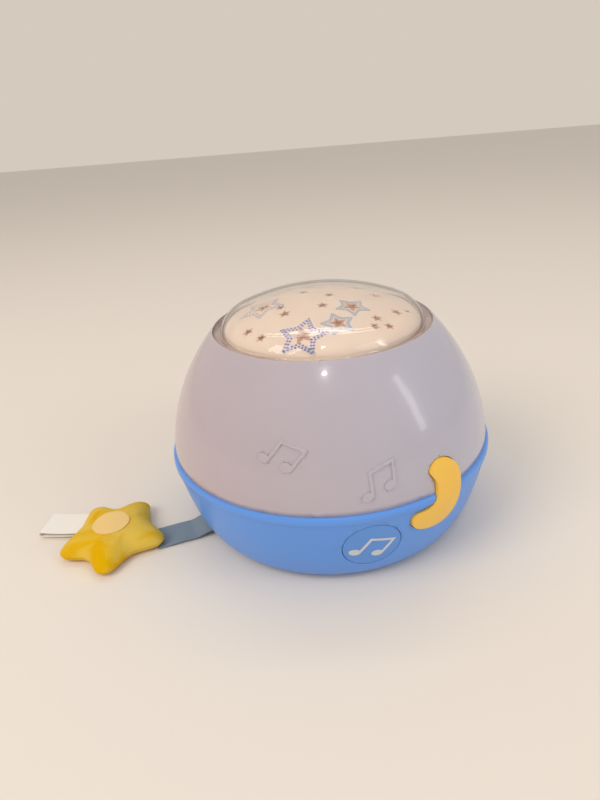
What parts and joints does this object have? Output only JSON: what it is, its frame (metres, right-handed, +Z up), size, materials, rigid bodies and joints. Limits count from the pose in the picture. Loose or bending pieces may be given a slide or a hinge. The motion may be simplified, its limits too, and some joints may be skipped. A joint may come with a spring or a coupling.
{
  "type": "star night light projector",
  "caption": "Round bedside night light that projects stars, with sound and moon push buttons, a milky dome, a star mask under a clear cover and a tethered plush star.",
  "frame": {"origin": "on the table, under the middle of the lamp", "axes": "+Z up along the lamp's axis of revolution; the front, with the sound button, faces -Y; the ribbon and plush star lie towards -X"},
  "size_m": [0.2935, 0.2, 0.147],
  "materials": {
    "blue_shell": "moulded sky-blue plastic, satin",
    "milky_dome": "translucent milky plastic, glossy",
    "clear_plastic": "clear moulded plastic, polished",
    "peach_mask": "printed peach plastic, matt",
    "white_plastic": "white moulded plastic",
    "board_metal": "white-coated aluminium board",
    "lamp_resin": "clear cast resin",
    "screw_steel": "zinc-plated",
    "board_green": "solder-masked laminate",
    "black_plastic": "moulded black",
    "speaker_steel": "black-lacquered steel",
    "speaker_paper": "pressed paper",
    "cell_jacket": "plain shrink jacket",
    "contact_metal": "nickel-plated spring steel",
    "foot_rubber": "soft dark rubber",
    "blue_button": "translucent blue, fine grain",
    "white_inlay": "white, smooth",
    "yellow_button": "soft yellow, satin",
    "ribbon_cloth": "woven dusty-blue ribbon",
    "yellow_plush": "short-pile velour",
    "pale_cloth": "smooth pale knit",
    "label_cloth": "white woven tape"
  },
  "bodies": {
    "housing": {"base_shell": "blue_shell", "dome_shell": "milky_dome", "clear_cover": "clear_plastic", "star_mask": "peach_mask", "light_funnel": "white_plastic", "lamp_tower": "white_plastic", "lamp_board": "board_metal", "beam_lamp": "lamp_resin", "glow_lamps": "lamp_resin", "tower_screws": "screw_steel", "main_board": "board_green", "board_parts": "black_plastic", "board_screws": "screw_steel", "speaker_frame": "speaker_steel", "speaker_cone": "speaker_paper", "speaker_magnet": "speaker_steel", "speaker_clamps": "screw_steel", "clamp_screws": "screw_steel", "battery_cells": "cell_jacket", "contact_plates": "contact_metal", "contact_springs": "contact_metal", "battery_door": "blue_shell", "door_screw": "screw_steel", "housing_screws": "screw_steel", "rubber_feet": "foot_rubber", "sound_switch": "black_plastic", "sound_switch_board": "board_green", "moon_switch": "black_plastic", "moon_switch_board": "board_green", "ribbon_tail": "ribbon_cloth", "ribbon_clamp": "white_plastic", "ribbon_clamp_screws": "screw_steel"},
    "sound_button": {"sound_button": "blue_button", "note_inlay": "white_inlay", "sound_plunger": "black_plastic"},
    "moon_button": {"moon_button": "yellow_button", "moon_plunger": "black_plastic"},
    "star": {"ribbon": "ribbon_cloth", "plush_star": "yellow_plush", "star_patch": "pale_cloth", "care_label": "label_cloth"}
  },
  "joints": [
    {"name": "sound_button_press", "type": "slide", "parent": "housing", "child": "sound_button", "axis": [-0.1978, 0.9469, 0.2534], "range_m": [0, 0.0015], "stiffness_N_per_m": 1200, "springref_m": -0.0005},
    {"name": "moon_button_press", "type": "slide", "parent": "housing", "child": "moon_button", "axis": [-0.5664, 0.8241, 0], "range_m": [0, 0.0015], "stiffness_N_per_m": 1200, "springref_m": -0.0005},
    {"name": "star_lift", "type": "hinge", "parent": "housing", "child": "star", "pos_m": [-0.08002, -0.02755, 0.0043], "axis": [-0.3256, 0.9455, 0], "range_deg": [0, 45]}
  ]
}
